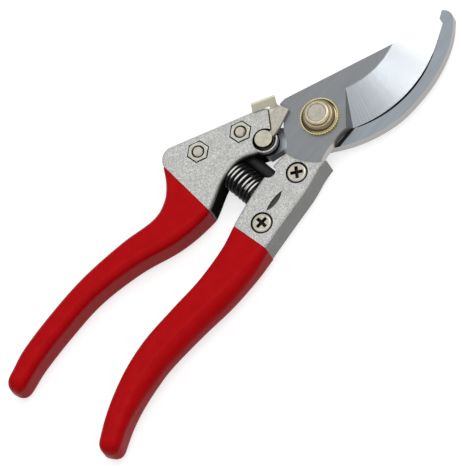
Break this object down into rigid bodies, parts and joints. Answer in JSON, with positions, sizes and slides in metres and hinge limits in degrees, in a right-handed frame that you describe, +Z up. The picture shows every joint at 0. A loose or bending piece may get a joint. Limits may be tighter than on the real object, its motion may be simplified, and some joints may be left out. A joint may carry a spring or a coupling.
{
  "type": "pruning shears",
  "caption": "Bypass pruning shears, closed: ground cutting blade over a hooked counter blade, cast handles with dipped grips, coil spring, rubber bumper and a swivelling thumb latch.",
  "frame": {"origin": "centre of the pivot bolt's head at its resting face", "axes": "+X along the shears to the blade tips, +Y to the thumb's handle, +Z up along the pivot, from the counter blade to the cutting blade"},
  "size_m": [0.2119, 0.0662, 0.0169],
  "materials": {
    "grip": "glossy dipped red vinyl",
    "casting": "fine cast satin",
    "blade": "satin blue-grey, ground bevel",
    "plated_fastener": "bright nickel plate",
    "gold_nut": "yellow zinc plate",
    "latch_steel": "satin nickel plate",
    "spring_wire": "glossy black",
    "bumper_rubber": "matte"
  },
  "bodies": {
    "thumb_side": {"thumb_handle": "casting", "thumb_grip": "grip", "counter_blade": "blade", "thumb_screw_1": "plated_fastener", "thumb_screw_2": "plated_fastener", "thumb_nut_1": "plated_fastener", "thumb_nut_2": "plated_fastener", "pivot_bolt": "plated_fastener", "pivot_washer": "gold_nut", "pivot_nut": "gold_nut", "spring": "spring_wire", "bumper": "bumper_rubber", "latch_stud": "latch_steel", "latch_washer": "plated_fastener", "latch_spring_washer": "plated_fastener"},
    "finger_side": {"finger_handle": "casting", "finger_grip": "grip", "cutting_blade": "blade", "finger_screw_1": "plated_fastener", "finger_screw_2": "plated_fastener", "finger_nut_1": "plated_fastener", "finger_nut_2": "plated_fastener", "pivot_bush": "plated_fastener"},
    "latch": {"latch_plate": "latch_steel"}
  },
  "joints": [
    {"name": "main_pivot", "type": "hinge", "parent": "thumb_side", "child": "finger_side", "pos_m": [0, 0, 0.009], "axis": [0, 0, 1], "range_deg": [0, 30], "deforming": ["spring"]},
    {"name": "latch_pivot", "type": "hinge", "parent": "thumb_side", "child": "latch", "pos_m": [-0.0198, 0.0095, 0.012], "axis": [0, 0, 1], "range_deg": [-10, 0]}
  ]
}
